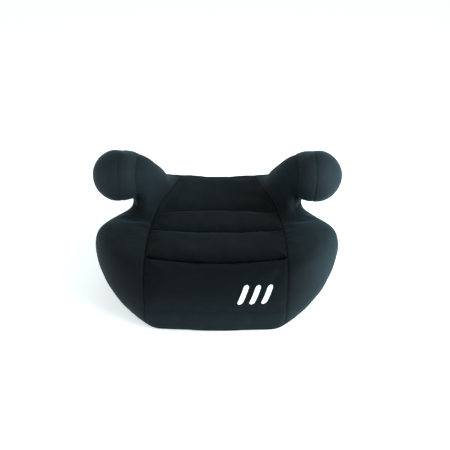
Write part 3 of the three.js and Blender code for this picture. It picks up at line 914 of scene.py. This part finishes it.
hem, _ = split(lower, lambda p: from_rim(p) - HEM_WIDTH)
p = points_of(hem)
inward = from_rim(p)
turn_round = np.arctan2(p[:, 1], p[:, 0])
uneven = ripple(p, GATHERS["wave"], GATHERS["seed"]) * GATHERS["uneven"]
gather = 0.5 + 0.5 * np.sin(turn_round * GATHERS["round"] + uneven)
gather = gather * smooth((inward - GATHERS["from_rim"]) / (HEM_WIDTH - GATHERS["from_rim"]))
p[:, 2] += gather * GATHERS["high"]
place_points(hem, p)
# Painted shade darkens the hem along its rim, where it turns under; away from the rim it is rubbed paler.
note(hem, crown=smooth(inward / HEM_RUBBED), sunk=HEM_PAINTED_SHADE * np.exp(-((inward / HEM_PAINTED_SHADE_REACH) ** 2)))
edge = np.unique(np.concatenate([np.array(rim) for rim in boundary_of(hem)]))
turn_in(hem, np.tile((0.0, 0.0, -1.0), (len(p), 1)), edge, HEM_TURNED_IN)
hem.shade_smooth()
hem.materials.append(side_knit)
add_piece("fabric_hem", hem, "cover_fabric", "cover_hem")

# The elastic along the hem's inner edge: a flat black band with fine ribs across it.
ELASTIC = {"wide": 6, "thick": 2.2, "rib": 2.1, "height": 3.0, "rib_share": 0.16, "inside_hem": 0.6}
ELASTIC_SIDES, EVENED_OUT, FLAT_FACE, ROUND_EDGE = 12, 60, 0.35, 0.6

inner_rim = min(boundary_of(hem), key=lambda rim: np.abs(points_of(hem)[np.array(rim), 0]).max())
closed, along = round_loop(points_of(hem)[np.array(inner_rim), :2])
ring_count = int(along[-1] / (ELASTIC["rib"] / 4))
at = np.linspace(0, along[-1], ring_count, endpoint=False)
path = np.stack([np.interp(at, along, closed[:, k]) for k in range(2)], 1)
for _ in range(EVENED_OUT):
    path = (np.roll(path, 1, 0) + path * 2 + np.roll(path, -1, 0)) / 4
way = np.roll(path, -3, 0) - np.roll(path, 3, 0)
way /= np.linalg.norm(way, axis=1, keepdims=True)
side = np.stack([way[:, 1], -way[:, 0]], 1)
side *= np.sign((side * path).sum(1).mean())
ribs = 1 + ELASTIC["rib_share"] * np.sin(np.arange(ring_count) * math.pi / 2)
rings = []
for angle in np.linspace(0, 2 * math.pi, ELASTIC_SIDES, endpoint=False):
    u, v = math.cos(angle), math.sin(angle)
    flat_u = math.copysign(abs(u) ** FLAT_FACE, u) * ELASTIC["wide"] / 2
    flat_v = math.copysign(abs(v) ** ROUND_EDGE, v) * ELASTIC["thick"] / 2
    plan_points = path - side * (ELASTIC["wide"] / 2 + ELASTIC["inside_hem"] - flat_u)
    rings.append(np.column_stack([plan_points, ELASTIC["height"] + flat_v * ribs]))
grid = np.stack(rings, 1).reshape(-1, 3)
k = np.arange(ring_count)
faces = []
for j in range(ELASTIC_SIDES):
    a, b = k * ELASTIC_SIDES + j, k * ELASTIC_SIDES + (j + 1) % ELASTIC_SIDES
    faces += np.stack([a, b, np.roll(b, -1), np.roll(a, -1)], 1).tolist()
elastic_mesh = new_mesh("elastic", grid, faces)
face_outward(elastic_mesh)
elastic_mesh.shade_smooth()
elastic_black, place, _ = new_material("black_elastic")
weave = noise(place, 900, 2)
weave_bump = place.node("Bump", inputs={"Strength": 0.5, "Distance": 0.0002, "Height": weave})
weave_tint = mixed(weave, (0.008, 0.009, 0.01, 1), (0.03, 0.032, 0.034, 1))
shade(elastic_black, Base_Color=weave_tint, Roughness=0.62, Normal=weave_bump)
elastic_mesh.materials.append(elastic_black)
add_piece("elastic_in_the_hem", elastic_mesh, "elastic", "hem_elastic")

# ---------------------------------------------------------------------------
# The seat pad: a cut sheet of cream open-cell foam, let into the top of the core. The
# stretched cover squeezes it a little and rounds its edges off.
PAD_VOXEL, PAD_ROUNDED, PAD_SQUEEZED = 3, 6, 1.5

pad_foam, place, _ = new_material("cream_open_cell_foam")
cells = place.node("TexVoronoi", inputs={"Vector": place, "Scale": 900})
cell_bump = place.node("Bump", inputs={"Strength": 0.7, "Distance": 0.0005, "Height": cells})
cream = mixed(noise(place, 60, 4), (0.5, 0.44, 0.24, 1), (0.66, 0.6, 0.36, 1))
shade(pad_foam, Base_Color=cream, Roughness=0.95, Normal=cell_bump)


def copy_of(node, name):
    """A new piece with the mesh of a CAD node, in the frame's place."""
    copy = new_piece(name, bpy.data.objects[node].data.copy())
    copy.data.transform(bpy.data.objects[node].matrix_world)
    return copy


def only_material(mesh, material):
    mesh.materials.clear()
    mesh.materials.append(material)


pad = copy_of("seat_pad", "pad_work")
for name, kind, values in (
    ("one_skin", "REMESH", {"mode": "VOXEL", "voxel_size": PAD_VOXEL * MM}),
    ("round_off", "SMOOTH", {"factor": 0.5, "iterations": PAD_ROUNDED}),
    ("squeezed", "DISPLACE", {"mid_level": 0, "strength": -PAD_SQUEEZED * MM}),
):
    step = pad.modifiers.new(name, kind)
    for key, value in values.items():
        setattr(step, key, value)
pad_mesh = finished(pad)
bpy.data.objects.remove(pad)
pad_mesh.shade_smooth()
only_material(pad_mesh, pad_foam)
add_piece("foam_pad_in_the_seat", pad_mesh, "pad_foam", "seat_pad")

# ---------------------------------------------------------------------------
# The core: charcoal bead foam, moulded in one piece with the armrests, that fills the
# cover. The taut cover presses it in, so it stays under the valleys of the seams.
PRESSED_IN, BETWEEN_BEADS = 1.4, (0.02, 0.022, 0.024, 1)

core_foam, place, _ = new_material("charcoal_bead_foam")
beads = place.node("TexVoronoi", {"feature": "DISTANCE_TO_EDGE"}, {"Vector": place, "Scale": 230})
pressed = beads.node("MapRange", inputs={0: beads, 1: 0, 2: 0.12})
bead_bump = place.node("Bump", inputs={"Strength": 0.6, "Distance": 0.0006, "Height": pressed})
bead_tint = mixed(noise(place, 160, 2), (0.045, 0.05, 0.053, 1), (0.075, 0.08, 0.084, 1))
bead_colour = mixed(pressed, BETWEEN_BEADS, bead_tint)
shade(core_foam, Base_Color=bead_colour, Roughness=0.7, Normal=bead_bump)
core = bpy.data.objects["foam_core"]
only_material(core.data, core_foam)
pressed_in = core.modifiers.new("pressed_in_by_the_cover", "DISPLACE")
pressed_in.mid_level, pressed_in.strength = 0, -PRESSED_IN * MM

# ---------------------------------------------------------------------------
# The base tray: black moulded plastic with ribs, a rim and a round foot, held up
# into the core by six barbed pins.
PIN_PLACES = [f"{side}_{spot}" for side in ("right", "left") for spot in ("front", "middle", "rear")]
MOULDED_EDGE, PIN_EDGE, EDGE_ANGLE = 0.5, 0.3, math.radians(40)

tray_plastic, place, _ = new_material("black_tray_plastic")
spark = noise(place, 1500, 2)
scuffs = noise(place, 55, 6, 0.7)
scuffed = place.node("MapRange", inputs={0: scuffs, 1: 0.52, 2: 0.75})
tray_black = mixed(scuffed, (0.012, 0.013, 0.014, 1), (0.026, 0.027, 0.029, 1))
spark_bump = place.node("Bump", inputs={"Strength": 0.25, "Distance": 0.0001, "Height": spark})
shade(tray_plastic, Base_Color=tray_black, Roughness=0.42 + scuffed * 0.2, Normal=spark_bump)
for name, width in [("base_tray", MOULDED_EDGE)] + [("pin_" + spot, PIN_EDGE) for spot in PIN_PLACES]:
    node = bpy.data.objects[name]
    only_material(node.data, tray_plastic)
    edge_round = node.modifiers.new("moulded_edges", "BEVEL")
    edge_round.width, edge_round.segments = width * MM, 2
    edge_round.limit_method, edge_round.angle_limit = "ANGLE", EDGE_ANGLE
    edge_round.harden_normals = False

# The elastic loops that tie the hem to the pins: thin round cords.
for spot in PIN_PLACES:
    loop = copy_of("elastic_loop_" + spot, "loop_work")
    rounder = loop.modifiers.new("rounder", "SUBSURF")
    rounder.levels = rounder.render_levels = 2
    loop_mesh = finished(loop)
    bpy.data.objects.remove(loop)
    loop_mesh.shade_smooth()
    only_material(loop_mesh, elastic_black)
    add_piece("cord_loop_" + spot, loop_mesh, "elastic", "elastic_loop_" + spot)

# ---------------------------------------------------------------------------
# A small printed mark on the front of the seat: three slanted white strokes of thick
# ink. Each is a thin closed plate with round ends that lies on the front panel.
MARK = {"middle": (56, 69), "strokes": 3, "pitch": 17, "tall": 27, "wide": 7.5, "slant": 0.4}
INK_PROUD, INK_UNDER, COLUMNS, ROWS, LEAST_ROUND = 0.18, 0.5, 10, 30, 0.003
AHEAD_OF_SEAT = -400


def stroke_width(v):
    """The share of a stroke's width that is left at a height from its middle, near its round ends."""
    past_round = max(abs(v) - MARK["tall"] / 2 + MARK["wide"] / 2, 0)
    return math.sqrt(max(1 - past_round**2 / (MARK["wide"] / 2) ** 2, LEAST_ROUND))


front_tree = skin_of(panels["fabric_seat_front"].data)
points, faces = [], []
wide, count = COLUMNS + 1, (COLUMNS + 1) * (ROWS + 1)
rim = list(range(COLUMNS)) + [COLUMNS + row * wide for row in range(ROWS)]
rim += [ROWS * wide + column for column in range(COLUMNS, 0, -1)] + [row * wide for row in range(ROWS, 0, -1)]
for stroke in range(MARK["strokes"]):
    start = len(points)
    for layer in (INK_PROUD, -INK_UNDER):
        for row in range(ROWS + 1):
            v = (row / ROWS - 0.5) * MARK["tall"]
            for column in range(COLUMNS + 1):
                u = (column / COLUMNS - 0.5) * MARK["wide"] * stroke_width(v)
                x = MARK["middle"][0] + (stroke - 1) * MARK["pitch"] + u + v * MARK["slant"]
                ahead = Vector((x, AHEAD_OF_SEAT, MARK["middle"][1] + v))
                hit, normal, _, _ = front_tree.ray_cast(ahead, Vector((0, 1, 0)))
                points.append(hit + normal * layer)
    for row in range(ROWS):
        for column in range(COLUMNS):
            a = start + row * wide + column
            faces.append((a, a + 1, a + wide + 1, a + wide))
            faces.append((a + count, a + count + wide, a + count + wide + 1, a + count + 1))
    for a, b in zip(rim, rim[1:] + rim[:1]):
        faces.append((start + b, start + a, start + count + a, start + count + b))
mark_mesh = new_mesh("mark", points, faces)
mark_mesh.shade_smooth()
print_white, place, _ = new_material("white_print")
ink = mixed(noise(place, 300, 3), (0.72, 0.74, 0.75, 1), (0.86, 0.87, 0.87, 1))
shade(print_white, Base_Color=ink, Roughness=0.55)
mark_mesh.materials.append(print_white)
add_piece("print_on_the_front", mark_mesh, "seat_fabric", "cover_seat_front")
